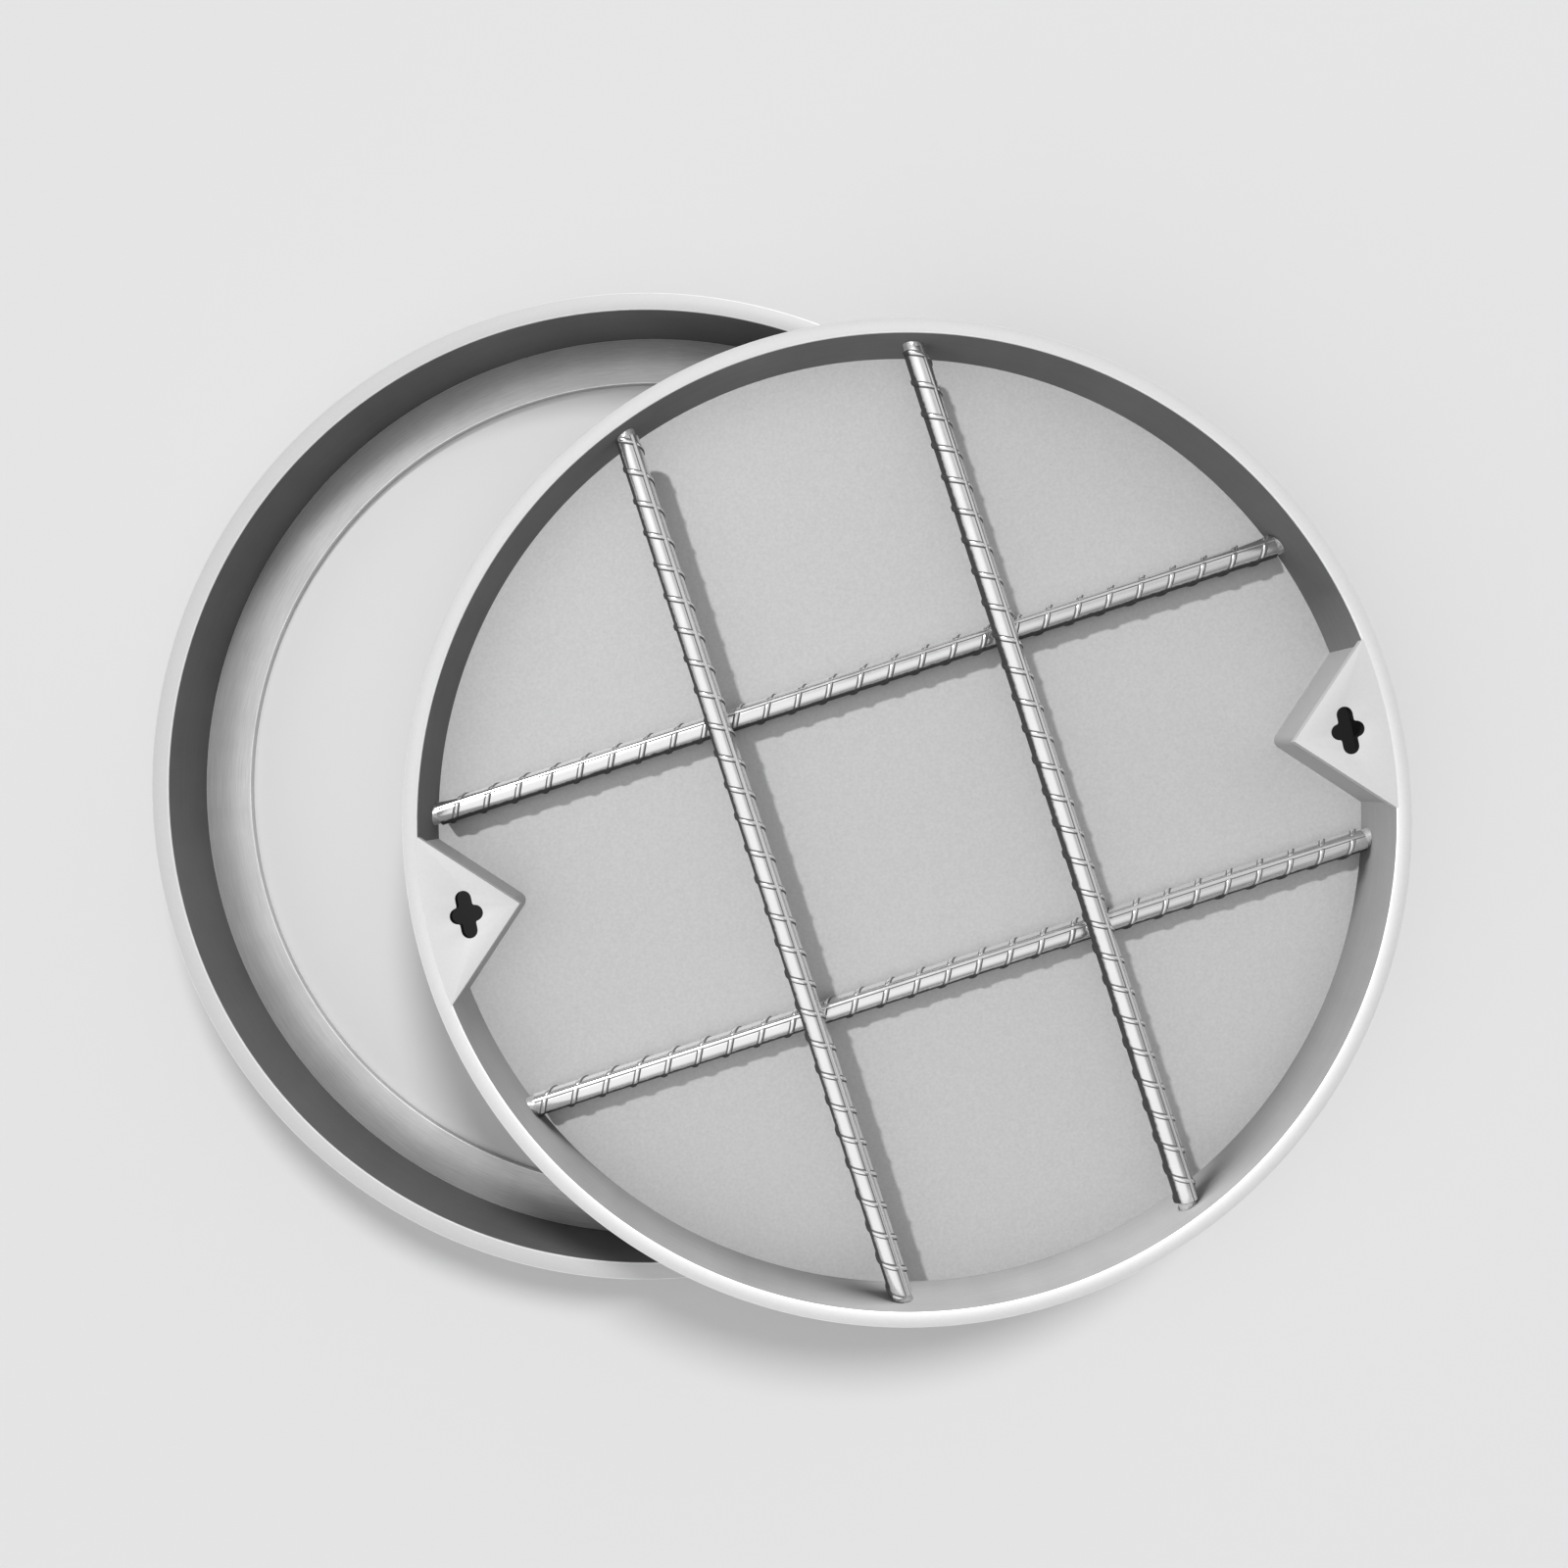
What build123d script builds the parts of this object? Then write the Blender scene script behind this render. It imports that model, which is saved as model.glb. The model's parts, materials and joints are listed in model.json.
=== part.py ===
from build123d import *
import os
from math import cos, radians, sin, sqrt

# A recessed round manhole cover and its frame, welded from rolled flat bar, plate and ribbed bar.
# The frame stands on the ground. The cover lies on the frame's rim, moved aside, as when it is open.
# Millimetres, +Z up. The origin is the centre of the frame's underside, and the line through the
# cover's two keyholes runs along X.

# Frame: an upright band with a flat ring inside its foot, on which the closed cover sits
clear_opening_radius = 300
frame_band_thickness = 12
seat_thickness = 6
seat_overlap = 30  # how far the closed cover reaches over the seat

# Cover: a tray with an upright band and a floor, filled on site with paving or concrete
cover_band_thickness = 10
infill_depth = 50
floor_thickness = 6
seat_clearance = 3  # gap all round the closed cover

# Keyhole plates, flush with the cover's rim, and the folded walls that keep the infill out below them
pocket_half_chord = 56.5
keyhole_plate_thickness = 6
pocket_overhang = 3  # how far a plate stands out over its wall
pocket_wall_thickness = 4
pocket_fold_radius = 2  # inside radius of the folded wall
keyhole_length = 31.6
keyhole_cross_length = 22
keyhole_slot_width = 10.6
keyhole_inset = 26  # from the cover band's inner face to the keyhole's centre

# Ribbed bars: two on the floor and two across them
bar_core_diameter = 15.6
bar_rib_height = 1.3
bar_rib_width = 2.4
lower_bar_pitch = 210
upper_bar_pitch = 202
bar_grid_turn = 6  # degrees from the keyhole line
lower_pair_shift = -4  # of the pair's middle from the cover's axis, along the grid's y
upper_pair_shift = 2.5  # of the pair's middle from the cover's axis, along the grid's x
bar_end_gap = 0.5  # from a bar's nearest corner to the cover band

# Welds and broken edges
seam_weld_size = 3
bar_weld_radius = 6.4
crossing_weld_depth = 5
pocket_weld_radius = 7
edge_break = 0.8
cover_lead_in = 2  # chamfer that guides the cover into the frame

# The open cover's place
cover_shift = 179
cover_shift_angle = -19.4

# Sizes that follow from the ones above
cover_height = infill_depth + floor_thickness
cover_radius = clear_opening_radius + seat_overlap
cover_inner_radius = cover_radius - cover_band_thickness
frame_bore_radius = cover_radius + seat_clearance
frame_outer_radius = frame_bore_radius + frame_band_thickness
frame_height = seat_thickness + cover_height  # the closed cover is flush with the frame's rim
pocket_tip_x = sqrt(cover_inner_radius**2 - pocket_half_chord**2) - pocket_half_chord
keyhole_x = cover_inner_radius - keyhole_inset
pocket_wall_height = infill_depth - keyhole_plate_thickness
bar_radius = bar_core_diameter / 2 + bar_rib_height  # over the ribs
weld_reach = 4 * bar_radius  # past the cover band's inner face at every bar end
cover_x = cover_shift * cos(radians(cover_shift_angle))
cover_y = cover_shift * sin(radians(cover_shift_angle))

os.makedirs("parts", exist_ok=True)


def cover_plane(height=0.0, turn=0.0):
    """A level plane on the cover's axis, at a height above the cover's underside."""
    x_dir = (cos(radians(turn)), sin(radians(turn)), 0)
    return Plane(origin=(cover_x, cover_y, frame_height + height), x_dir=x_dir, z_dir=(0, 0, 1))


def bar_plane(turn, offset, height):
    """An upright plane across the middle of a bar, with its normal along the bar and its y upwards."""
    level = cover_plane(height, turn)
    origin = level.from_local_coords((0, offset, 0))
    return Plane(origin=origin, x_dir=level.y_dir, z_dir=level.x_dir)


def bar_half_length(offset):
    """Half the length of a square-cut bar whose corners just clear the cover band."""
    return sqrt((cover_inner_radius - bar_end_gap) ** 2 - (abs(offset) + bar_radius) ** 2)


def pocket_corner(set_back):
    """The right-angled corner that outlines a pocket, set back from the keyhole plate's edges."""
    tip = pocket_tip_x + set_back * sqrt(2)
    reach = cover_radius - tip
    return [(tip, 0), (tip + reach, -reach), (tip + reach, reach)]


# ---- Frame ----

with BuildPart() as frame_band:
    with BuildSketch():
        Circle(frame_outer_radius)
        Circle(frame_bore_radius, mode=Mode.SUBTRACT)
    extrude(amount=frame_height)
    chamfer(frame_band.edges().group_by(Axis.Z)[-1], edge_break)
    chamfer(frame_band.edges().group_by(Axis.Z)[0].sort_by(SortBy.RADIUS)[0], seam_weld_size)
frame_band.part.label = "frame_band"
export_step(frame_band.part, "parts/frame_band.step")

with BuildPart() as frame_seat:
    with BuildSketch():
        Circle(frame_bore_radius)
        Circle(clear_opening_radius, mode=Mode.SUBTRACT)
    extrude(amount=seat_thickness)
    chamfer(frame_seat.edges().group_by(Axis.Z)[0].sort_by(SortBy.RADIUS)[-1], seam_weld_size)
frame_seat.part.label = "frame_seat"
export_step(frame_seat.part, "parts/frame_seat.step")

# The weld fills the groove that the two chamfers leave, flush with the underside.
with BuildPart() as frame_seam_weld:
    with BuildSketch(Plane.XZ):
        with BuildLine():
            Polyline(
                (frame_bore_radius - seam_weld_size, 0),
                (frame_bore_radius + seam_weld_size, 0),
                (frame_bore_radius, seam_weld_size),
                close=True,
            )
        make_face()
    revolve(axis=Axis.Z)
frame_seam_weld.part.label = "frame_seam_weld"
export_step(frame_seam_weld.part, "parts/frame_seam_weld.step")

# ---- Cover tray ----

with BuildPart() as cover_band:
    with BuildSketch(cover_plane()):
        Circle(cover_radius)
        Circle(cover_inner_radius, mode=Mode.SUBTRACT)
    extrude(amount=cover_height)
    chamfer(cover_band.edges().group_by(Axis.Z)[-1].sort_by(SortBy.RADIUS)[-1], edge_break)
    chamfer(cover_band.edges().group_by(Axis.Z)[0].sort_by(SortBy.RADIUS)[0], seam_weld_size)
    chamfer(cover_band.edges().group_by(Axis.Z)[0].sort_by(SortBy.RADIUS)[-1], cover_lead_in)
cover_band.part.label = "cover_band"
export_step(cover_band.part, "parts/cover_band.step")

with BuildPart() as floor_plate:
    with BuildSketch(cover_plane()):
        Circle(cover_inner_radius)
    extrude(amount=floor_thickness)
    chamfer(floor_plate.edges().group_by(Axis.Z)[0], seam_weld_size)
floor_plate.part.label = "floor_plate"
export_step(floor_plate.part, "parts/floor_plate.step")

with BuildPart() as floor_seam_weld:
    with BuildSketch(Plane(origin=cover_plane().origin, x_dir=(1, 0, 0), z_dir=(0, -1, 0))):
        with BuildLine():
            Polyline(
                (cover_inner_radius - seam_weld_size, 0),
                (cover_inner_radius + seam_weld_size, 0),
                (cover_inner_radius, seam_weld_size),
                close=True,
            )
        make_face()
    revolve(axis=Axis(cover_plane().origin, (0, 0, 1)))
floor_seam_weld.part.label = "floor_seam_weld"
export_step(floor_seam_weld.part, "parts/floor_seam_weld.step")

# ---- Keyhole plates, pocket walls and the beads that close the walls against the band ----

pocket_turns = {"right": 0, "left": 180}

for side, turn in pocket_turns.items():
    with BuildPart() as keyhole_plate:
        with BuildSketch(cover_plane(cover_height - keyhole_plate_thickness, turn)):
            Circle(cover_inner_radius)
            Polygon(*pocket_corner(0), mode=Mode.INTERSECT)
            with Locations((keyhole_x, 0)):
                SlotOverall(keyhole_length, keyhole_slot_width, rotation=90, mode=Mode.SUBTRACT)
                SlotOverall(keyhole_cross_length, keyhole_slot_width, mode=Mode.SUBTRACT)
        extrude(amount=keyhole_plate_thickness)
        top_face = keyhole_plate.faces().sort_by(Axis.Z)[-1]
        free_sides = top_face.outer_wire().edges().filter_by(GeomType.LINE)
        chamfer(free_sides, edge_break)
    keyhole_plate.part.label = f"keyhole_plate_{side}"
    export_step(keyhole_plate.part, f"parts/keyhole_plate_{side}.step")

    with BuildPart() as pocket_wall:
        with BuildSketch(cover_plane(floor_thickness, turn)) as wall_outline:
            Circle(cover_inner_radius)
            Polygon(*pocket_corner(pocket_overhang), mode=Mode.INTERSECT)
            Polygon(*pocket_corner(pocket_overhang + pocket_wall_thickness), mode=Mode.SUBTRACT)
            outer_tip, inner_tip = wall_outline.vertices().sort_by(Axis.X)[:2]
            fillet(inner_tip, pocket_fold_radius)
            outer_tip = wall_outline.vertices().sort_by(Axis.X)[0]
            fillet(outer_tip, pocket_fold_radius + pocket_wall_thickness)
        extrude(amount=pocket_wall_height)
    pocket_wall.part.label = f"pocket_wall_{side}"
    export_step(pocket_wall.part, f"parts/pocket_wall_{side}.step")

# One bead in each corner inside a pocket, where a wall's end meets the cover band.
with BuildPart() as pocket_welds:
    for turn in pocket_turns.values():
        with BuildSketch(cover_plane(floor_thickness, turn)):
            inside = pocket_corner(pocket_overhang + pocket_wall_thickness)
            corner_y = pocket_half_chord - (pocket_overhang + pocket_wall_thickness) * sqrt(2)
            corner_x = sqrt(cover_inner_radius**2 - corner_y**2)
            with Locations((corner_x, corner_y), (corner_x, -corner_y)):
                Circle(pocket_weld_radius)
            Circle(cover_inner_radius, mode=Mode.INTERSECT)
            Polygon(*inside, mode=Mode.INTERSECT)
        extrude(amount=pocket_wall_height)
pocket_welds.part.label = "pocket_welds"
export_step(pocket_welds.part, "parts/pocket_welds.step")

# ---- Ribbed bars ----
# The plain bars carry the two ribs that run along them, at the top and the foot, so that the lower
# pair stands on the floor and the upper pair on the lower one.

lower_bar_height = floor_thickness + bar_radius
upper_bar_height = lower_bar_height + 2 * bar_radius
bars = {
    "lower_bar_back": (bar_grid_turn, lower_pair_shift + lower_bar_pitch / 2, lower_bar_height),
    "lower_bar_front": (bar_grid_turn, lower_pair_shift - lower_bar_pitch / 2, lower_bar_height),
    "upper_bar_left": (bar_grid_turn + 90, upper_bar_pitch / 2 - upper_pair_shift, upper_bar_height),
    "upper_bar_right": (bar_grid_turn + 90, -upper_bar_pitch / 2 - upper_pair_shift, upper_bar_height),
}
bar_parts = []

for name, (turn, offset, height) in bars.items():
    with BuildPart() as bar:
        with BuildSketch(bar_plane(turn, offset, height)):
            Circle(bar_core_diameter / 2)
            Rectangle(bar_rib_width, 2 * bar_radius)
        extrude(amount=bar_half_length(offset), both=True)
    bar.part.label = name
    bar_parts.append(bar.part)
    export_step(bar.part, f"parts/{name}.step")

# A bead fills the wedge between each square-cut bar end and the round cover band.
with BuildPart() as bar_end_welds:
    for turn, offset, height in bars.values():
        middle = bar_plane(turn, offset, height)
        for plane in (middle, Plane(origin=middle.origin, x_dir=middle.x_dir, z_dir=-middle.z_dir)):
            with BuildSketch(plane.offset(bar_half_length(offset))):
                Circle(bar_weld_radius)
            extrude(amount=weld_reach)
    with BuildSketch(cover_plane(floor_thickness)):
        Circle(cover_inner_radius)
    extrude(amount=infill_depth, mode=Mode.INTERSECT)
bar_end_welds.part.label = "bar_end_welds"
export_step(bar_end_welds.part, "parts/bar_end_welds.step")

# A bead fills the crook round each of the four crossings, between an upper bar and a lower one.
with BuildPart() as crossing_welds:
    crossing_level = cover_plane(lower_bar_height + bar_radius - crossing_weld_depth / 2, bar_grid_turn)
    with BuildSketch(crossing_level):
        with Locations((upper_pair_shift, lower_pair_shift)):
            with GridLocations(upper_bar_pitch, lower_bar_pitch, 2, 2):
                Circle(bar_weld_radius)
    extrude(amount=crossing_weld_depth)
    add(bar_parts, mode=Mode.SUBTRACT)
crossing_welds.part.label = "crossing_welds"
export_step(crossing_welds.part, "parts/crossing_welds.step")
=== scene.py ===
import json
import math

import bmesh
import bpy
from mathutils import Matrix, Vector

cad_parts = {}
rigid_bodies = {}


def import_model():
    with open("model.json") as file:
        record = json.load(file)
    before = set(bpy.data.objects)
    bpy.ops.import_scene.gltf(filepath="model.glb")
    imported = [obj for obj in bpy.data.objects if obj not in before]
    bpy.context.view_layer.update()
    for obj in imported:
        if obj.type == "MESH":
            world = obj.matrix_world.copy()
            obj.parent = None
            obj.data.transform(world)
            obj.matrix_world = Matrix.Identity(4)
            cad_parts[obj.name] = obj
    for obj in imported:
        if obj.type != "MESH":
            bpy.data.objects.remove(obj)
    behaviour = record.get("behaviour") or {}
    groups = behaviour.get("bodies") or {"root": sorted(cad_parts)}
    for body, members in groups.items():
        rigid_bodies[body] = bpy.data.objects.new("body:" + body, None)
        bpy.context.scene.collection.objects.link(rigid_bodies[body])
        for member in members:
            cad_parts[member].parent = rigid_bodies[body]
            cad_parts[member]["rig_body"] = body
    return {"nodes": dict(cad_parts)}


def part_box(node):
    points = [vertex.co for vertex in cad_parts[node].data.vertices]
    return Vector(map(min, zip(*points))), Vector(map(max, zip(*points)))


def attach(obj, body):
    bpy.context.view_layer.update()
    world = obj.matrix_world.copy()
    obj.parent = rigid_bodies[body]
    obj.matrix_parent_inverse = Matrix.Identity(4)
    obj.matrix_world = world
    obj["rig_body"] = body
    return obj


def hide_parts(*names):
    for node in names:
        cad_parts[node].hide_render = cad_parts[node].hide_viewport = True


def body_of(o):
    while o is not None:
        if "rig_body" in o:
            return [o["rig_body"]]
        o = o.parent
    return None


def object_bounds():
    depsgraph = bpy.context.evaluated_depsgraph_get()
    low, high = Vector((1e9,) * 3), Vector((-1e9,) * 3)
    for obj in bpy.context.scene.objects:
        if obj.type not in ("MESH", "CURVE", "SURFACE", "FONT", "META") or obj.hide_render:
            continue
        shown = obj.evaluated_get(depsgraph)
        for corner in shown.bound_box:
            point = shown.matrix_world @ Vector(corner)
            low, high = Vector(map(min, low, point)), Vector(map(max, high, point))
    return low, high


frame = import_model()
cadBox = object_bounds()
print("frame loaded:", len(frame["nodes"]), "nodes")

# Places read from the frame. The cover's axis stands over the middle of its band.
bandLow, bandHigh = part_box("cover_band")
coverAxis = Vector(((bandLow.x + bandHigh.x) / 2, (bandLow.y + bandHigh.y) / 2, 0))
coverRadius = (bandHigh.x - bandLow.x) / 2
coverFoot = bandLow.z
coverTop = bandHigh.z
floorLow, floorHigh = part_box("floor_plate")
trayRadius = (floorHigh.x - floorLow.x) / 2
trayFloor = floorHigh.z
ringLow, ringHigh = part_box("frame_band")
ringRadius = ringHigh.x
ringTop = ringHigh.z
seatLow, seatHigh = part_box("frame_seat")
seatRadius = seatHigh.x
seatTop = seatHigh.z
plateLow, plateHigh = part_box("keyhole_plate_right")
plateHalfChord = (plateHigh.y - plateLow.y) / 2
plateTip = math.sqrt(trayRadius**2 - plateHalfChord**2) - plateHalfChord


def shaderGroup(name, inputs, outputs):
    group = bpy.data.node_groups.new(name, "ShaderNodeTree")
    for label, kind, value in inputs:
        socket = group.interface.new_socket(label, in_out="INPUT", socket_type="NodeSocket" + kind)
        if value is not None:
            socket.default_value = value
    for label, kind in outputs:
        group.interface.new_socket(label, in_out="OUTPUT", socket_type="NodeSocket" + kind)
    return group, group.nodes.new("NodeGroupInput"), group.nodes.new("NodeGroupOutput")


def addNode(tree, kind, links=None, **settings):
    node = tree.nodes.new("ShaderNode" + kind)
    for key, value in settings.items():
        setattr(node, key, value)
    for key, source in (links or {}).items():
        if isinstance(source, bpy.types.NodeSocket):
            tree.links.new(source, node.inputs[key])
        else:
            node.inputs[key].default_value = source
    return node


def mathNode(tree, operation, first, second=0.0, third=0.0):
    return addNode(tree, "Math", {0: first, 1: second, 2: third}, operation=operation).outputs[0]


def mixColour(tree, factor, first, second, blend="MIX"):
    node = addNode(tree, "Mix", {0: factor, 6: first, 7: second}, data_type="RGBA", blend_type=blend)
    return node.outputs[2]


def ramp(tree, value, fromLow, fromHigh, toLow=0.0, toHigh=1.0, smooth=False):
    links = {0: value, 1: fromLow, 2: fromHigh, 3: toLow, 4: toHigh}
    return addNode(
        tree, "MapRange", links, interpolation_type="SMOOTHSTEP" if smooth else "LINEAR"
    ).outputs[0]


def noise(tree, vector, scale, detail=2.0, roughness=0.5):
    links = {"Vector": vector, "Scale": scale, "Detail": detail, "Roughness": roughness}
    return addNode(tree, "TexNoise", links).outputs["Fac"]


# How far a value lies from its middle, times an amount.
def swing(tree, value, amount):
    return mathNode(tree, "MULTIPLY", mathNode(tree, "SUBTRACT", value, 0.5), amount)


def scaleVector(tree, vector, gain):
    return addNode(tree, "VectorMath", {0: vector, "Scale": gain}, operation="SCALE").outputs[0]


def makeGrainGroup():
    group, enter, leave = shaderGroup(
        "steelGrain",
        [
            ("Vector", "Vector", None),
            ("Tone", "Color", (0.7, 0.7, 0.7, 1)),
            ("Grain Scale", "Float", 900.0),
            ("Grain Contrast", "Float", 0.05),
            ("Blotch Scale", "Float", 14.0),
            ("Blotch Contrast", "Float", 0.05),
            ("Roughness", "Float", 0.5),
            ("Roughness Spread", "Float", 0.1),
        ],
        [("Color", "Color"), ("Roughness", "Float"), ("Height", "Float")],
    )
    vector = enter.outputs["Vector"]
    grain = noise(group, vector, enter.outputs["Grain Scale"], 3.0, 0.65)
    blotch = noise(group, vector, enter.outputs["Blotch Scale"], 4.0, 0.55)
    grainTone = swing(group, grain, enter.outputs["Grain Contrast"])
    blotchTone = swing(group, blotch, enter.outputs["Blotch Contrast"])
    gain = mathNode(group, "ADD", mathNode(group, "ADD", grainTone, blotchTone), 1.0)
    group.links.new(scaleVector(group, enter.outputs["Tone"], gain), leave.inputs["Color"])
    grainShare = mathNode(group, "MULTIPLY", grain, 0.4)
    blotchShare = mathNode(group, "MULTIPLY", blotch, 0.6)
    offset = swing(group, mathNode(group, "ADD", grainShare, blotchShare), enter.outputs["Roughness Spread"])
    group.links.new(mathNode(group, "ADD", enter.outputs["Roughness"], offset), leave.inputs["Roughness"])
    group.links.new(grain, leave.inputs["Height"])
    return group


def makeEdgeWearGroup():
    group, enter, leave = shaderGroup(
        "edgeWear",
        [
            ("Vector", "Vector", None),
            ("Color", "Color", (0.7, 0.7, 0.7, 1)),
            ("Roughness", "Float", 0.5),
            ("Worn Color", "Color", (0.9, 0.9, 0.9, 1)),
            ("Worn Roughness", "Float", 0.3),
            ("Amount", "Float", 0.8),
        ],
        [("Color", "Color"), ("Roughness", "Float")],
    )
    edge = addNode(group, "Attribute", attribute_name="wornEdge").outputs["Fac"]
    patchy = ramp(group, noise(group, enter.outputs["Vector"], 130.0, 4.0, 0.6), 0.3, 0.7, 0.5, 1.0)
    mask = mathNode(group, "MULTIPLY", mathNode(group, "MULTIPLY", edge, patchy), enter.outputs["Amount"])
    wornColour = mixColour(group, mask, enter.outputs["Color"], enter.outputs["Worn Color"])
    group.links.new(wornColour, leave.inputs["Color"])
    links = {0: mask, 2: enter.outputs["Roughness"], 3: enter.outputs["Worn Roughness"]}
    mixRough = addNode(group, "Mix", links, data_type="FLOAT")
    group.links.new(mixRough.outputs[0], leave.inputs["Roughness"])
    return group


# Marks that run round a ring: fine lines along the turn, and slow changes from place to place.
def makeRingMarksGroup():
    group, enter, leave = shaderGroup(
        "ringMarks",
        [
            ("Vector", "Vector", None),
            ("Line Scale", "Float", 1200.0),
            ("Patch Scale", "Float", 9.0),
        ],
        [("Lines", "Float"), ("Patches", "Float")],
    )
    split = addNode(group, "SeparateXYZ", {0: enter.outputs["Vector"]})
    x, y, z = split.outputs
    angle = mathNode(group, "ARCTAN2", y, x)
    squares = [mathNode(group, "POWER", part, 2) for part in (x, y)]
    radius = mathNode(group, "SQRT", mathNode(group, "ADD", squares[0], squares[1]))
    turns = {0: mathNode(group, "SINE", angle), 1: mathNode(group, "COSINE", angle)}
    around = addNode(group, "CombineXYZ", turns).outputs[0]
    slow = scaleVector(group, around, 0.012)
    depth = addNode(group, "CombineXYZ", {0: radius, 1: z, 2: mathNode(group, "ADD", radius, z)})
    lineVector = addNode(group, "VectorMath", {0: slow, 1: depth.outputs[0]}, operation="ADD").outputs[0]
    group.links.new(noise(group, lineVector, enter.outputs["Line Scale"], 3.0, 0.6), leave.inputs["Lines"])
    wide = scaleVector(group, around, 0.33)
    group.links.new(noise(group, wide, enter.outputs["Patch Scale"], 4.0, 0.6), leave.inputs["Patches"])
    return group


grainGroup = makeGrainGroup()
edgeWearGroup = makeEdgeWearGroup()
ringMarksGroup = makeRingMarksGroup()


def placeGroup(tree, group, links):
    return addNode(tree, "Group", links, node_tree=group).outputs


def grey(level):
    return (level, level, level * 1.005, 1)


def newMaterial(name, metallic):
    material = bpy.data.materials.new(name)
    material.use_nodes = True
    tree = material.node_tree
    tree.nodes.clear()
    surface = addNode(tree, "BsdfPrincipled")
    surface.inputs["Metallic"].default_value = metallic
    addNode(tree, "OutputMaterial", {"Surface": surface.outputs[0]})
    place = addNode(tree, "TexCoord").outputs["Object"]
    return material, tree, surface, place


def addBump(tree, surface, height, distance, strength=1.0):
    bump = addNode(tree, "Bump", {"Height": height, "Distance": distance, "Strength": strength})
    tree.links.new(bump.outputs[0], surface.inputs["Normal"])


def centred(tree, place, centre, turn=0.0):
    node = addNode(tree, "Mapping", {"Vector": place}, vector_type="TEXTURE")
    node.inputs["Location"].default_value = centre
    node.inputs["Rotation"].default_value = (0, 0, turn)
    return node.outputs[0]


blasted = {
    "plateTone": 0.58,
    "floorTone": 0.465,
    "foldedTone": 0.42,
    "bandTone": 0.68,
    "ringTone": 0.57,
    "pocketShadeTone": 0.02,
    "metallic": 0.25,
    "roughness": 0.6,
    "grainScale": 480.0,
    "grainDepth": 0.00003,
}


# The insides of the two key pockets are painted near black as shade, the shade that the keyhole plates cast
# there. Their corners point at the cover's axis.
def pocketPaintedShade(tree, place, setBack):
    local = addNode(tree, "SeparateXYZ", {0: centred(tree, place, coverAxis)})
    across = mathNode(tree, "ABSOLUTE", local.outputs["Y"])
    corner = mathNode(tree, "SUBTRACT", mathNode(tree, "ABSOLUTE", local.outputs["X"]), across)
    edge = plateTip + setBack * math.sqrt(2)
    return ramp(tree, corner, edge - 0.0005, edge + 0.0005)


def makeBlastedSteel(name, tone, grainContrast, blotchContrast, pocketShadeSetBack=None):
    material, tree, surface, place = newMaterial(name, blasted["metallic"])
    grain = placeGroup(tree, grainGroup, {
        "Vector": place,
        "Tone": grey(tone),
        "Grain Scale": blasted["grainScale"],
        "Grain Contrast": grainContrast,
        "Blotch Scale": 9.0,
        "Blotch Contrast": blotchContrast,
        "Roughness": blasted["roughness"],
        "Roughness Spread": 0.08,
    })
    worn = placeGroup(tree, edgeWearGroup, {
        "Vector": place,
        "Color": grain["Color"],
        "Roughness": grain["Roughness"],
        "Worn Color": grey(0.82),
        "Worn Roughness": 0.32,
        "Amount": 0.8,
    })
    tone = worn["Color"]
    if pocketShadeSetBack is not None:
        # Past the pocket's corner line the tone goes to near black: painted shade inside the key pocket.
        tone = mixColour(tree, pocketPaintedShade(tree, place, pocketShadeSetBack), tone, grey(blasted["pocketShadeTone"]))
    tree.links.new(tone, surface.inputs["Base Color"])
    tree.links.new(worn["Roughness"], surface.inputs["Roughness"])
    addBump(tree, surface, grain["Height"], blasted["grainDepth"], 0.6)
    return material


band = {
    "wallTone": 0.18,
    "ringWallTone": 0.14,
    "wallRoughness": 0.75,
    "lineScale": 420.0,
    "patchScale": 5.0,
}


# Lifts and lowers a tone along the lines and over the patches that run round a ring.
def marksGain(tree, marks, lineLow, lineHigh, patchSwing):
    lines = ramp(tree, marks["Lines"], 0.3, 0.7, lineLow, lineHigh)
    patches = ramp(tree, marks["Patches"], 0.3, 0.7, -patchSwing, patchSwing)
    return mathNode(tree, "ADD", lines, patches)


# The bands' walls keep the dull face of rolled bar, with faint lines round them and a few cloudy patches.
def makeRolledWall(name, axis, tone):
    material, tree, surface, place = newMaterial(name, 0.0)
    surface.inputs["Specular IOR Level"].default_value = 0.05
    marks = placeGroup(tree, ringMarksGroup, {
        "Vector": centred(tree, place, axis),
        "Line Scale": band["lineScale"],
        "Patch Scale": band["patchScale"],
    })
    grain = placeGroup(tree, grainGroup, {
        "Vector": place,
        "Tone": grey(tone),
        "Grain Scale": 500.0,
        "Grain Contrast": 0.10,
        "Blotch Scale": 26.0,
        "Blotch Contrast": 0.22,
        "Roughness": band["wallRoughness"],
        "Roughness Spread": 0.2,
    })
    marked = scaleVector(tree, grain["Color"], marksGain(tree, marks, 0.97, 1.03, 0.12))
    tree.links.new(marked, surface.inputs["Base Color"])
    tree.links.new(grain["Roughness"], surface.inputs["Roughness"])
    addBump(tree, surface, marks["Lines"], 0.00002, 0.4)
    return material


seat = {
    "tone": 0.56,
    "openingRadius": 0.300,
    "edgeBreak": 0.0006,
    "metallic": 0.45,
    "roughness": 0.42,
}


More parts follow.
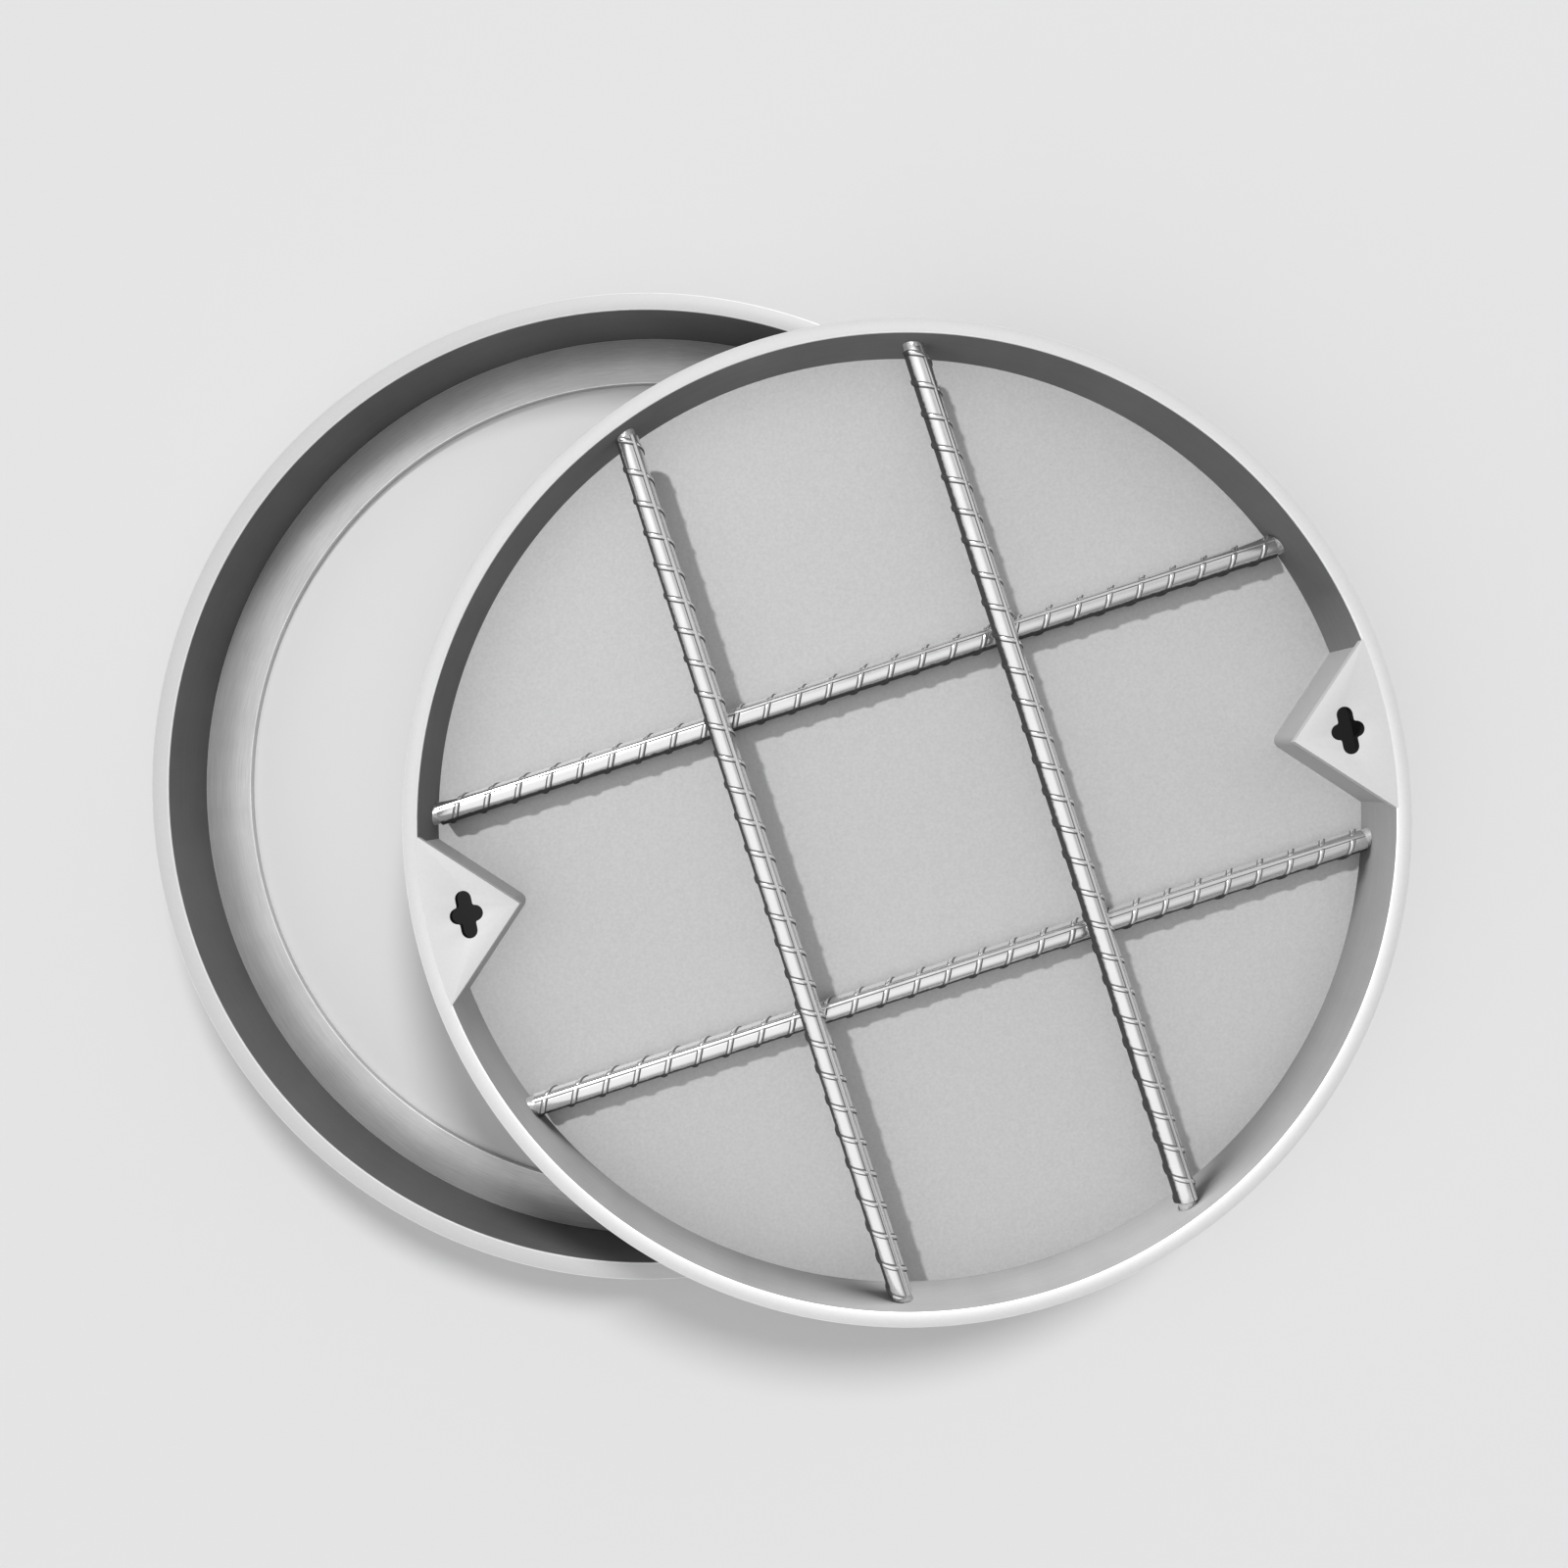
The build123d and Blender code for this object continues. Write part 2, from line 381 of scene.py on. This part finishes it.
def makeSeatSteel(name):
    material, tree, surface, place = newMaterial(name, seat["metallic"])
    grain = placeGroup(tree, grainGroup, {
        "Vector": place,
        "Tone": grey(seat["tone"]),
        "Grain Scale": 900.0,
        "Grain Contrast": 0.06,
        "Blotch Scale": 12.0,
        "Blotch Contrast": 0.05,
        "Roughness": seat["roughness"],
        "Roughness Spread": 0.06,
    })
    marks = placeGroup(tree, ringMarksGroup, {"Vector": place, "Line Scale": 1500.0, "Patch Scale": 13.0})
    tone = scaleVector(tree, grain["Color"], marksGain(tree, marks, 0.86, 1.10, 0.08))
    worn = placeGroup(tree, edgeWearGroup, {
        "Vector": place,
        "Color": tone,
        "Roughness": grain["Roughness"],
        "Worn Color": grey(0.95),
        "Worn Roughness": 0.25,
        "Amount": 0.9,
    })
    tree.links.new(worn["Color"], surface.inputs["Base Color"])
    tree.links.new(worn["Roughness"], surface.inputs["Roughness"])
    addBump(tree, surface, marks["Lines"], 0.00001, 0.5)
    return material


barFinish = {
    "tone": 0.86,
    "flankShadeTone": 0.05,
    "rootTone": 0.05,
    "roughness": 0.24,
}


# Bright rolled steel. The roots of the ribs are darkened, for mill scale there together with painted shade
# in those creases, and one side of the bar is painted dark as shade.
def makeBarSteel(name, middle, turn, radius):
    material, tree, surface, place = newMaterial(name, 1.0)
    local = centred(tree, place, middle, turn)
    grain = placeGroup(tree, grainGroup, {
        "Vector": place,
        "Tone": grey(barFinish["tone"]),
        "Grain Scale": 700.0,
        "Grain Contrast": 0.06,
        "Blotch Scale": 60.0,
        "Blotch Contrast": 0.10,
        "Roughness": barFinish["roughness"],
        "Roughness Spread": 0.16,
    })
    across = addNode(tree, "SeparateXYZ", {0: local}).outputs["Y"]
    ragged = mathNode(tree, "ADD", across, swing(tree, noise(tree, place, 260.0, 4.0), 0.0016))
    # The side of the bar towards local negative Y is painted near black as shade, with a ragged edge.
    shadedFlank = ramp(tree, ragged, -0.68 * radius, -0.50 * radius, 1.0, 0.0, smooth=True)
    # The feet of the ribs are darkened: mill scale lodged there, together with painted shade in those
    # creases.
    root = ramp(tree, addNode(tree, "Attribute", attribute_name="ribRoot").outputs["Fac"], 0.03, 0.25)
    rootShare = mathNode(tree, "MULTIPLY", root, 0.9)
    rooted = mixColour(tree, rootShare, grain["Color"], grey(barFinish["rootTone"]))
    flankShadedColour = mixColour(tree, shadedFlank, rooted, grey(barFinish["flankShadeTone"]))
    tree.links.new(flankShadedColour, surface.inputs["Base Color"])
    # Here scale holds the painted shade on the one side together with the darkened rib roots; where it is
    # high the steel turns dull and non-metallic.
    scale = mathNode(tree, "MAXIMUM", shadedFlank, root)
    tree.links.new(mathNode(tree, "MULTIPLY_ADD", scale, -0.9, 1.0), surface.inputs["Metallic"])
    surface.inputs["Specular IOR Level"].default_value = 0.15
    dull = mathNode(tree, "MULTIPLY", scale, 0.35)
    tree.links.new(mathNode(tree, "ADD", grain["Roughness"], dull), surface.inputs["Roughness"])
    addBump(tree, surface, grain["Height"], 0.00004, 0.5)
    return material


weld = {"tone": 0.6, "metallic": 0.7, "roughness": 0.42}


def makeWeldMetal(name):
    material, tree, surface, place = newMaterial(name, weld["metallic"])
    grain = placeGroup(tree, grainGroup, {
        "Vector": place,
        "Tone": grey(weld["tone"]),
        "Grain Scale": 380.0,
        "Grain Contrast": 0.5,
        "Blotch Scale": 90.0,
        "Blotch Contrast": 0.5,
        "Roughness": weld["roughness"],
        "Roughness Spread": 0.3,
    })
    tree.links.new(grain["Color"], surface.inputs["Base Color"])
    tree.links.new(grain["Roughness"], surface.inputs["Roughness"])
    fine = mathNode(tree, "MULTIPLY", grain["Height"], 0.3)
    lumps = mathNode(tree, "ADD", noise(tree, place, 420.0, 1.0), fine)
    addBump(tree, surface, lumps, 0.0006, 0.8)
    return material


plateSteel = makeBlastedSteel("plateSteel", blasted["plateTone"], 0.10, 0.04)
# The keyhole's cut walls are painted near black as shade, with the pocket's painted shade tone.
keyholeShadeSteel = makeBlastedSteel("keyholeShadeSteel", blasted["pocketShadeTone"], 0.3, 0.3)
# The tray floor and the folded pocket walls carry the painted pocket shade.
floorSteel = makeBlastedSteel("floorSteel", blasted["floorTone"], 0.34, 0.03, 0.005)
foldedSteel = makeBlastedSteel("foldedSteel", blasted["foldedTone"], 0.08, 0.10, 0.005)
bandSteel = makeBlastedSteel("bandSteel", blasted["bandTone"], 0.10, 0.04)
ringSteel = makeBlastedSteel("ringSteel", blasted["ringTone"], 0.10, 0.04)
coverWallSteel = makeRolledWall("coverWallSteel", coverAxis, band["wallTone"])
ringWallSteel = makeRolledWall("ringWallSteel", (0, 0, 0), band["ringWallTone"])
seatSteel = makeSeatSteel("seatSteel")
weldMetal = makeWeldMetal("weldMetal")
print("materials made")


def finishPiece(name, shape, materials, body, replaced, sharpAngle=24.0):
    bmesh.ops.recalc_face_normals(shape, faces=shape.faces)
    mesh = bpy.data.meshes.new(name)
    shape.to_mesh(mesh)
    shape.free()
    mesh.shade_smooth()
    mesh.set_sharp_from_angle(angle=math.radians(sharpAngle))
    for material in materials:
        mesh.materials.append(material)
    piece = bpy.data.objects.new(name, mesh)
    bpy.context.scene.collection.objects.link(piece)
    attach(piece, body)
    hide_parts(*replaced)
    return piece


# Breaks each edge sharper than an angle, and marks the new faces as worn. An edge with both its ends past
# a radius stays as it is.
def breakEdges(shape, width, segments=2, leastAngle=30.0, within=math.inf):
    worn = shape.faces.layers.float.new("wornEdge")
    sharp = [
        e for e in shape.edges
        if len(e.link_faces) == 2
        and e.calc_face_angle() > math.radians(leastAngle)
        and min(v.co.xy.length for v in e.verts) < within
    ]
    made = bmesh.ops.bevel(
        shape, geom=sharp, offset=width, affect="EDGES", segments=segments, profile=0.5,
        material=-1, clamp_overlap=True,
    )
    for face in made["faces"]:
        face[worn] = 1.0


# Draws a face out into a solid along a vector.
def drawOut(shape, faces, vector):
    drawn = bmesh.ops.extrude_face_region(shape, geom=faces)
    moved = [v for v in drawn["geom"] if isinstance(v, bmesh.types.BMVert)]
    bmesh.ops.translate(shape, vec=vector, verts=moved)


def setDown(shape, place, turn):
    matrix = Matrix.Translation(place) @ Matrix.Rotation(turn, 4, "Z")
    bmesh.ops.transform(shape, matrix=matrix, verts=shape.verts)


# Turns a closed outline of (radius, height) points about an upright axis.
def turnedShape(outline, axis, steps):
    shape = bmesh.new()
    corners = [shape.verts.new((axis.x + r, axis.y, z)) for r, z in outline]
    sides = [shape.edges.new(pair) for pair in zip(corners, corners[1:] + corners[:1])]
    bmesh.ops.spin(
        shape, geom=corners + sides, cent=axis, axis=(0, 0, 1), angle=math.tau, steps=steps, use_merge=True
    )
    bmesh.ops.remove_doubles(shape, verts=shape.verts, dist=1e-6)
    return shape


# The upright faces that look in towards the axis get a piece's second material.
def paintInnerWall(shape, axis, radius):
    for face in shape.faces:
        middle = face.calc_center_median() - axis
        if math.hypot(middle.x, middle.y) < radius + 1e-4 and abs(face.normal.z) < 0.1:
            face.material_index = 1


ringBand = {"thickness": 0.012, "weldGroove": 0.003, "edgeBreak": 0.0008, "steps": 288}


def makeRingBand():
    bore = ringRadius - ringBand["thickness"]
    groove = ringBand["weldGroove"]
    outline = [(bore + groove, 0), (ringRadius, 0), (ringRadius, ringTop), (bore, ringTop), (bore, groove)]
    shape = turnedShape(outline, Vector((0, 0, 0)), ringBand["steps"])
    breakEdges(shape, ringBand["edgeBreak"])
    paintInnerWall(shape, Vector((0, 0, 0)), bore)
    finishPiece("ringBand", shape, [ringSteel, ringWallSteel], "frame", ["frame_band"])


def makeRingSeat():
    groove = ringBand["weldGroove"]
    opening = seat["openingRadius"]
    outline = [
        (opening, 0),
        (seatRadius - groove, 0),
        (seatRadius, groove),
        (seatRadius, seatTop),
        (opening, seatTop),
    ]
    shape = turnedShape(outline, Vector((0, 0, 0)), ringBand["steps"])
    breakEdges(shape, seat["edgeBreak"])
    finishPiece("ringSeat", shape, [seatSteel], "frame", ["frame_seat"])


coverBand = {"leadIn": 0.002, "edgeBreak": 0.0008, "steps": 288}


def makeCoverBand():
    groove = ringBand["weldGroove"]
    lead = coverBand["leadIn"]
    outline = [
        (trayRadius + groove, coverFoot),
        (coverRadius - lead, coverFoot),
        (coverRadius, coverFoot + lead),
        (coverRadius, coverTop),
        (trayRadius, coverTop),
        (trayRadius, coverFoot + groove),
    ]
    shape = turnedShape(outline, coverAxis, coverBand["steps"])
    breakEdges(shape, coverBand["edgeBreak"])
    paintInnerWall(shape, coverAxis, trayRadius)
    finishPiece("coverBand", shape, [bandSteel, coverWallSteel], "cover", ["cover_band"])


def makeTrayFloor():
    groove = ringBand["weldGroove"]
    outline = [
        (0, coverFoot),
        (trayRadius - groove, coverFoot),
        (trayRadius, coverFoot + groove),
        (trayRadius, trayFloor),
        (0, trayFloor),
    ]
    shape = turnedShape(outline, coverAxis, coverBand["steps"])
    axisEdges = [e for e in shape.edges if len(e.link_faces) < 2]
    bmesh.ops.delete(shape, geom=axisEdges, context="EDGES")
    finishPiece("trayFloor", shape, [floorSteel], "cover", ["floor_plate"])


makeRingBand()
makeRingSeat()
makeCoverBand()
makeTrayFloor()
print("rings and tray made")


keyhole = {
    "length": 0.0316,
    "crossLength": 0.022,
    "slotWidth": 0.0106,
    "inset": 0.026,
    "cuspRadius": 0.0014,
    "edgeBreak": 0.0007,
    "arcSteps": 14,
}


def arcPoints(centre, radius, startAngle, endAngle, steps):
    angles = [startAngle + (endAngle - startAngle) * i / steps for i in range(steps + 1)]
    return [Vector((centre[0] + radius * math.cos(a), centre[1] + radius * math.sin(a), 0)) for a in angles]


# Four round lobes joined by small round cusps. The long slot lies along Y.
def keyholeOutline():
    half = keyhole["slotWidth"] / 2
    longLobe = keyhole["length"] / 2 - half
    crossLobe = keyhole["crossLength"] / 2 - half
    cusp = keyhole["cuspRadius"]
    cuspX = half + cusp
    cuspY = math.sqrt((half + cusp) ** 2 - (cuspX - crossLobe) ** 2)
    meet = math.atan2(cuspY, cuspX - crossLobe)
    steps = keyhole["arcSteps"]
    quarter = arcPoints((0, longLobe), half, math.pi / 2, 0, steps // 2)
    quarter += arcPoints((cuspX, cuspY), cusp, math.pi, math.pi + meet, 5)
    quarter += arcPoints((crossLobe, 0), half, meet, 0, steps // 2)[1:]
    right = quarter + [Vector((p.x, -p.y, 0)) for p in reversed(quarter[:-1])]
    left = [Vector((-p.x, p.y, 0)) for p in reversed(right[1:-1])]
    return right + left


def drawLoop(shape, points):
    corners = [shape.verts.new(p) for p in points]
    return [shape.edges.new(pair) for pair in zip(corners, corners[1:] + corners[:1])]


def makeKeyholePlate(node, name, turn):
    low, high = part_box(node)
    chordAngle = math.asin(plateHalfChord / trayRadius)
    shape = bmesh.new()
    reach = trayRadius + coverBand["edgeBreak"]
    rimArc = arcPoints((0, 0), reach, -chordAngle, chordAngle, 24)
    edges = drawLoop(shape, [Vector((plateTip, 0, 0))] + rimArc)
    holeMiddle = Vector((trayRadius - keyhole["inset"], 0, 0))
    hole = [p + holeMiddle for p in keyholeOutline()]
    edges += drawLoop(shape, hole)
    bmesh.ops.triangle_fill(shape, use_beauty=True, use_dissolve=False, edges=edges)
    drawOut(shape, shape.faces[:], (0, 0, high.z - low.z))
    breakEdges(shape, keyhole["edgeBreak"], 3, 30.0, trayRadius)
    for face in shape.faces:
        fromHole = face.calc_center_median().xy - holeMiddle.xy
        if fromHole.length < keyhole["length"] * 0.6 and abs(face.normal.z) < 0.3:
            face.material_index = 1
    setDown(shape, coverAxis + Vector((0, 0, low.z)), turn)
    finishPiece(name, shape, [plateSteel, keyholeShadeSteel], "cover", [node])


pocket = {"overhang": 0.003, "thickness": 0.004, "foldRadius": 0.002, "edgeBreak": 0.0004}


# A folded wall: both legs end on the tray's round wall, at the same setbacks from the plate's corner.
def makePocketWall(node, name, turn):
    low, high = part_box(node)
    shape = bmesh.new()
    outline = []
    outerSetBack = pocket["overhang"]
    innerSetBack = outerSetBack + pocket["thickness"]
    for setBack, side in ((outerSetBack, -1), (innerSetBack, 1)):
        tip = plateTip + setBack * math.sqrt(2)
        endX = (tip + math.sqrt(2 * trayRadius**2 - tip**2)) / 2
        outline.append(Vector((endX, side * (endX - tip), 0)))
        outline.append(Vector((tip, 0, 0)))
        outline.append(Vector((endX, -side * (endX - tip), 0)))
    drawLoop(shape, outline)
    shape.verts.ensure_lookup_table()
    outerFold = pocket["foldRadius"] + pocket["thickness"]
    for tipVert, radius in ((shape.verts[1], outerFold), (shape.verts[4], pocket["foldRadius"])):
        bmesh.ops.bevel(
            shape, geom=[tipVert], offset=radius, affect="VERTICES", segments=8, profile=0.5, material=-1
        )
    bmesh.ops.contextual_create(shape, geom=shape.edges[:])
    drawOut(shape, shape.faces[:], (0, 0, high.z - low.z))
    setDown(shape, coverAxis + Vector((0, 0, low.z)), turn)
    breakEdges(shape, pocket["edgeBreak"], 2, 50.0)
    finishPiece(name, shape, [foldedSteel], "cover", [node])


for side, turn in (("right", 0.0), ("left", math.pi)):
    makeKeyholePlate(f"keyhole_plate_{side}", f"keyholePlate_{side}", turn)
    makePocketWall(f"pocket_wall_{side}", f"pocketWall_{side}", turn)
print("pockets made")


ribbedBar = {
    "coreRadius": 0.0078,
    "longRibTurn": 35.0,
    "longRibWidth": 0.0028,
    "longRibFoot": 0.0054,
    "crossRibPitch": 0.0222,
    "crossRibLead": 0.0262,
    "crossRibWidth": 0.0018,
    "crossRibFoot": 0.0054,
    "crossRibRadius": 0.0089,
    "longRibRadius": 0.0084,
    "longRibSink": 0.96,
    "crossRibSink": 0.0002,
    "gridTurn": 6.0,
    "crossRibSteps": 14,
}


def radial(angle, radius, x):
    return Vector((x, radius * math.sin(angle), radius * math.cos(angle)))


# One half of a slanted rib, from one long rib round to the other, running down to nothing at its ends.
def addCrossRib(shape, rootLayer, middle, startAngle, crest):
    base = ribbedBar["coreRadius"] - ribbedBar["crossRibSink"]
    steps = ribbedBar["crossRibSteps"]
    lead = ribbedBar["crossRibLead"]
    start = middle + lead * startAngle / math.tau
    halfFoot = ribbedBar["crossRibFoot"] / 2
    halfTop = ribbedBar["crossRibWidth"] / 2
    corners = []
    for offset, radius in ((-halfFoot, base), (-halfTop, crest), (halfTop, crest), (halfFoot, base)):
        vert = shape.verts.new(radial(startAngle, radius, start + offset))
        vert[rootLayer] = 1.0 if radius == base else 0.0
        corners.append(vert)
    section = shape.faces.new(corners)
    known = set(shape.verts)
    bmesh.ops.spin(
        shape, geom=[section] + corners + section.edges[:], cent=(0, 0, 0), axis=(-1, 0, 0),
        dvec=(lead / 2 / steps, 0, 0), angle=math.pi, steps=steps, use_merge=False,
    )
    for vert in [v for v in shape.verts if v not in known] + corners:
        radius = math.hypot(vert.co.y, vert.co.z)
        angle = math.atan2(vert.co.y, vert.co.z)
        share = ((angle - startAngle + 0.01) % math.tau) / math.pi
        fade = max(0.0, min(1.0, share / 0.02, (1.003 - share) / 0.02))
        if radius > base + 1e-5:
            wanted = base + (radius - base) * fade
            vert.co.y *= wanted / radius
            vert.co.z *= wanted / radius


def makeRibbedBar(node, name, turn, ribStart):
    low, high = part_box(node)
    middle = (low + high) / 2
    crest = (high.z - low.z) / 2
    tilt = math.radians(ribbedBar["gridTurn"])
    span = max(high.x - low.x, high.y - low.y)
    halfLength = (span / 2 - math.sin(tilt) * ribbedBar["coreRadius"]) / math.cos(tilt)
    shape = bmesh.new()
    rootLayer = shape.verts.layers.float.new("ribRoot")
    reach = halfLength + 0.02
    start = Matrix.Translation((-reach, 0, 0)) @ Matrix.Rotation(math.pi / 2, 4, "Y")
    core = bmesh.ops.create_circle(
        shape, cap_ends=True, segments=64, radius=ribbedBar["coreRadius"], matrix=start
    )
    drawOut(shape, [core["verts"][0].link_faces[0]], (2 * reach, 0, 0))
    longRibRoot = ribbedBar["coreRadius"] * ribbedBar["longRibSink"]
    for ribTurn in (ribbedBar["longRibTurn"], ribbedBar["longRibTurn"] + 180):
        corners = []
        for offset, radius in (
            (-ribbedBar["longRibFoot"] / 2, longRibRoot),
            (-ribbedBar["longRibWidth"] / 2, ribbedBar["longRibRadius"]),
            (ribbedBar["longRibWidth"] / 2, ribbedBar["longRibRadius"]),
            (ribbedBar["longRibFoot"] / 2, longRibRoot),
        ):
            angle = math.radians(ribTurn) + offset / radius
            vert = shape.verts.new(radial(angle, radius, -reach))
            vert[rootLayer] = 0.0 if radius == ribbedBar["longRibRadius"] else 1.0
            corners.append(vert)
        drawOut(shape, [shape.faces.new(corners)], (2 * reach, 0, 0))
    count = math.ceil(halfLength / ribbedBar["crossRibPitch"])
    for number in range(-count, count + 1):
        place = ribStart + number * ribbedBar["crossRibPitch"]
        for ribTurn in (ribbedBar["longRibTurn"] - 180, ribbedBar["longRibTurn"]):
            addCrossRib(shape, rootLayer, place, math.radians(ribTurn), ribbedBar["crossRibRadius"])
    for end in (-halfLength, halfLength):
        cut = bmesh.ops.bisect_plane(
            shape, geom=shape.verts[:] + shape.edges[:] + shape.faces[:], plane_co=(end, 0, 0),
            plane_no=(math.copysign(1, end), 0, 0), clear_outer=True,
        )
        rim = [e for e in cut["geom_cut"] if isinstance(e, bmesh.types.BMEdge)]
        bmesh.ops.holes_fill(shape, edges=rim, sides=0)
    setDown(shape, middle, math.radians(turn))
    material = makeBarSteel(name + "Steel", middle, math.radians(turn), crest)
    return finishPiece(name, shape, [material], "cover", [node], 50.0)


gridTurn = ribbedBar["gridTurn"]
bars = [
    makeRibbedBar("lower_bar_back", "ribbedBar_lowerBack", gridTurn, 0.0026),
    makeRibbedBar("lower_bar_front", "ribbedBar_lowerFront", gridTurn, -0.0023),
    makeRibbedBar("upper_bar_left", "ribbedBar_upperLeft", gridTurn - 90, 0.0132),
    makeRibbedBar("upper_bar_right", "ribbedBar_upperRight", gridTurn - 90, 0.0170),
]
print("ribbed bars made")

for node in ("frame_seam_weld", "floor_seam_weld", "pocket_welds", "bar_end_welds", "crossing_welds"):
    weldBead = frame["nodes"][node]
    weldBead.data.materials.clear()
    weldBead.data.materials.append(weldMetal)


studio = {
    "floorTone": 0.66,
    "backdropGlow": 0.75,
    "skyBright": 1.0,
    "skyDim": 0.2,
    "skyTilt": 31.0,
    "skyAzimuth": 213.0,
    "horizonBright": 0.7,
    "horizonTilt": 74.0,
    "horizonAzimuth": 33.0,
}

# Each key is a distant soft lamp: strength, tilt from overhead, compass angle, and how soft it is.
keys = {
    "trayKey": (2.6, 45.0, 119.5, 3.5),
    "ringKey": (1.9, 38.0, 58.0, 14.0),
    "rimKey": (1.1, 14.0, 96.0, 24.0),
}

# A soft lamp over the tray lights the far part of the cover's wall. Its reach is off the cover's axis, and
# its height is above the rim.
wallLamp = {"power": 3.4, "size": 0.12, "reach": 0.065, "height": 0.015, "azimuth": 95.0, "dip": 4.0}

floorShape = bmesh.new()
bmesh.ops.create_grid(floorShape, x_segments=2, y_segments=2, size=8.0)
floorMesh = bpy.data.meshes.new("studioFloor")
floorShape.to_mesh(floorMesh)
floorShape.free()
studioFloor = bpy.data.objects.new("studioFloor", floorMesh)
studioFloor.location.z = cadBox[0][2] - 0.0002
bpy.context.scene.collection.objects.link(studioFloor)
floorMaterial, floorTree, floorSurface, floorPlace = newMaterial("studioFloorPaint", 0.0)
floorGrain = placeGroup(floorTree, grainGroup, {
    "Vector": floorPlace,
    "Tone": grey(studio["floorTone"]),
    "Grain Scale": 90.0,
    "Grain Contrast": 0.01,
    "Blotch Scale": 2.0,
    "Blotch Contrast": 0.01,
    "Roughness": 0.8,
    "Roughness Spread": 0.05,
})
floorTree.links.new(floorGrain["Color"], floorSurface.inputs["Base Color"])
floorTree.links.new(floorGrain["Roughness"], floorSurface.inputs["Roughness"])
floorMesh.materials.append(floorMaterial)

# A sky with one broad bright patch near overhead, and dimmer all round.
world = bpy.data.worlds.new("studioSky")
bpy.context.scene.world = world
world.use_nodes = True
sky = world.node_tree
sky.nodes.clear()


def direction(tilt, azimuth):
    lean = math.radians(tilt)
    compass = math.radians(azimuth)
    return Vector((math.sin(lean) * math.cos(compass), math.sin(lean) * math.sin(compass), math.cos(lean)))


skyward = addNode(sky, "TexCoord").outputs["Generated"]
patch = direction(studio["skyTilt"], studio["skyAzimuth"])
nearness = addNode(sky, "VectorMath", {0: skyward, 1: patch}, operation="DOT_PRODUCT").outputs["Value"]
glow = ramp(sky, nearness, 0.42, 0.88, studio["skyDim"], studio["skyBright"], smooth=True)
low = direction(studio["horizonTilt"], studio["horizonAzimuth"])
lowness = addNode(sky, "VectorMath", {0: skyward, 1: low}, operation="DOT_PRODUCT").outputs["Value"]
lowGlow = ramp(sky, lowness, 0.45, 0.75, 0.0, studio["horizonBright"], smooth=True)
glow = mathNode(sky, "MAXIMUM", glow, lowGlow)
seen = addNode(sky, "LightPath").outputs["Is Camera Ray"]
strength = addNode(sky, "Mix", {0: seen, 2: glow, 3: studio["backdropGlow"]}, data_type="FLOAT").outputs[0]
background = addNode(sky, "Background", {"Color": (1, 1, 1, 1), "Strength": strength})
addNode(sky, "OutputWorld", {"Surface": background.outputs[0]})


def collectionOf(name, members):
    group = bpy.data.collections.new(name)
    for member in members:
        group.objects.link(member)
    return group


def addLamp(name, data, strength, place, towards, receivers, blockers):
    data.energy = strength
    light = bpy.data.objects.new(name, data)
    bpy.context.scene.collection.objects.link(light)
    light.rotation_euler = towards.to_track_quat("Z", "Y").to_euler()
    light.location = place
    light.visible_camera = False
    light.light_linking.receiver_collection = collectionOf(name + "Receivers", receivers)
    if blockers is not None:
        light.light_linking.blocker_collection = collectionOf(name + "Blockers", blockers)


def addKey(name, receivers, blockers):
    strength, tilt, azimuth, softness = keys[name]
    data = bpy.data.lights.new(name, "SUN")
    data.angle = math.radians(softness)
    towards = direction(tilt, azimuth)
    addLamp(name, data, strength, towards * 3, towards, receivers, blockers)


def addWallLamp(receivers):
    data = bpy.data.lights.new("wallLamp", "AREA")
    data.shape = "DISK"
    data.size = wallLamp["size"]
    place = coverAxis + direction(90, wallLamp["azimuth"]) * wallLamp["reach"]
    place.z = coverTop + wallLamp["height"]
    towards = direction(90 - wallLamp["dip"], wallLamp["azimuth"])
    addLamp("wallLamp", data, wallLamp["power"], place, towards, receivers, [])


shown = [o for o in bpy.context.scene.objects if o.type == "MESH" and not o.hide_render]
coverPieces = [o for o in shown if body_of(o) == ["cover"]]
coverRim = bpy.data.objects["coverBand"]
addKey("trayKey", [o for o in coverPieces if o != coverRim], bars)
addKey("rimKey", [coverRim], [])
addWallLamp([coverRim])
addKey("ringKey", [o for o in shown if o not in coverPieces], None)

view = {"lens": 27.98, "place": (0.0953, -0.0184, 0.9134), "turn": -11.8}
cameraData = bpy.data.cameras.new("mainCamera")
cameraData.sensor_width = 36.0
cameraData.lens = view["lens"]
cameraData.clip_start = 0.01
camera = bpy.data.objects.new("mainCamera", cameraData)
camera.location = view["place"]
camera.rotation_euler = (0, 0, math.radians(view["turn"]))
bpy.context.scene.collection.objects.link(camera)
bpy.context.scene.camera = camera
bpy.context.scene.view_settings.view_transform = "Standard"
print("studio set")

bpy.context.view_layer.update()
